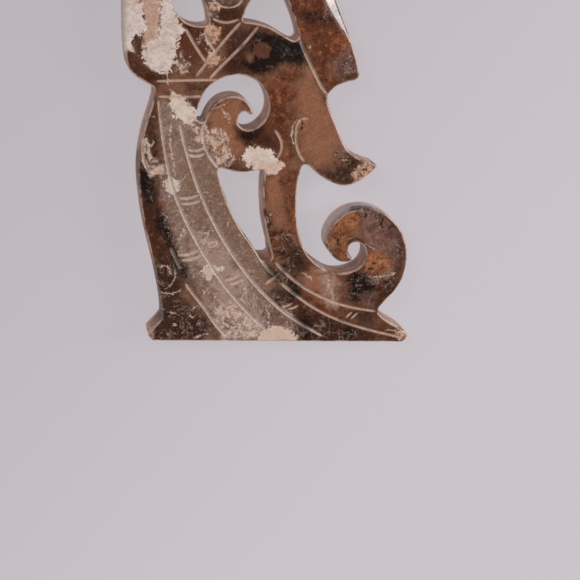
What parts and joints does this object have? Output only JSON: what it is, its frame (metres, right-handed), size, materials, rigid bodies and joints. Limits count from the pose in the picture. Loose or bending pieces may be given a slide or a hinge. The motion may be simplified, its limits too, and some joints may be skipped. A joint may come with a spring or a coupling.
{
  "type": "jade dancer pendant",
  "caption": "Flat pierced jade pendant of a long-sleeved dancer, with incised dress and face and a small bore in the crown for hanging it on a cord.",
  "frame": {"origin": "middle of the plaque's plan, on its back face, at z 0", "axes": "+X to the figure's right-hand side as seen from the front, +Y from the foot to the head, +Z out of the incised front"},
  "size_m": [0.0541, 0.08, 0.005],
  "materials": {
    "jade": "semi-gloss polished nephrite, weathered"
  },
  "bodies": {
    "root": {"dancer_plaque": "jade"}
  },
  "joints": []
}
